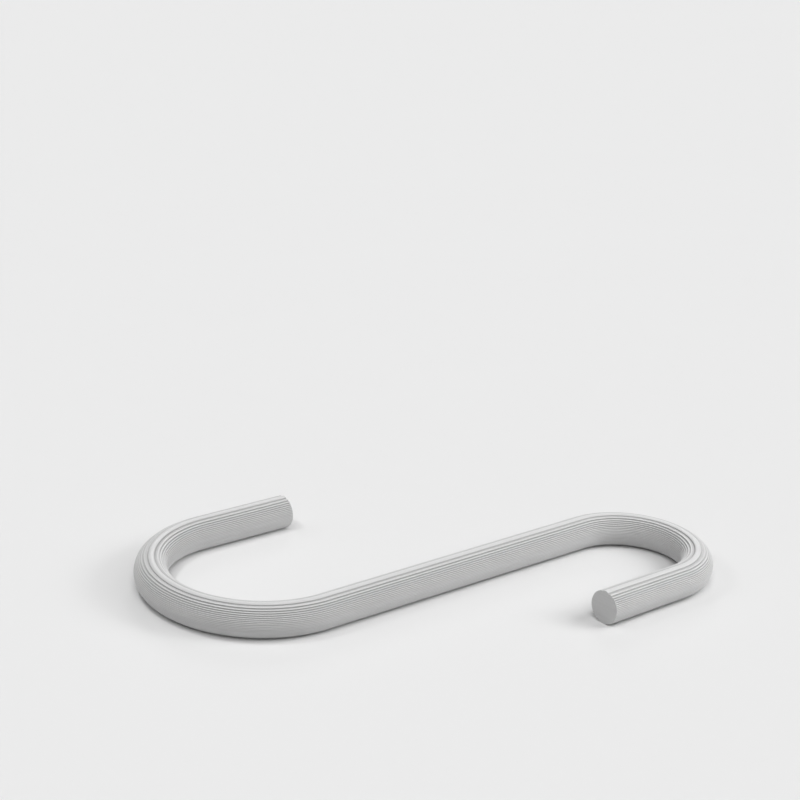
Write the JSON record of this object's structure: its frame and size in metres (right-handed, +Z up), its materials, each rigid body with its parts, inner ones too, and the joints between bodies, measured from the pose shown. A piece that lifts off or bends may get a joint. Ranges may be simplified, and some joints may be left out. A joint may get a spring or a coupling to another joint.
{
  "type": "s hook",
  "caption": "Plain round-rod S hook with one larger and one smaller open half-round hook facing opposite ways, printed flat in fine layers.",
  "frame": {"origin": "under the middle of the straight shank, on the plane that the hook lies on", "axes": "+X along the shank towards the small hook, +Y towards the large hook's free end, +Z up from the plane it lies on"},
  "size_m": [0.0972, 0.0685, 0.0061],
  "materials": {
    "printed_plastic": "matte, with level layer steps"
  },
  "bodies": {
    "root": {"hook": "printed_plastic"}
  },
  "joints": []
}
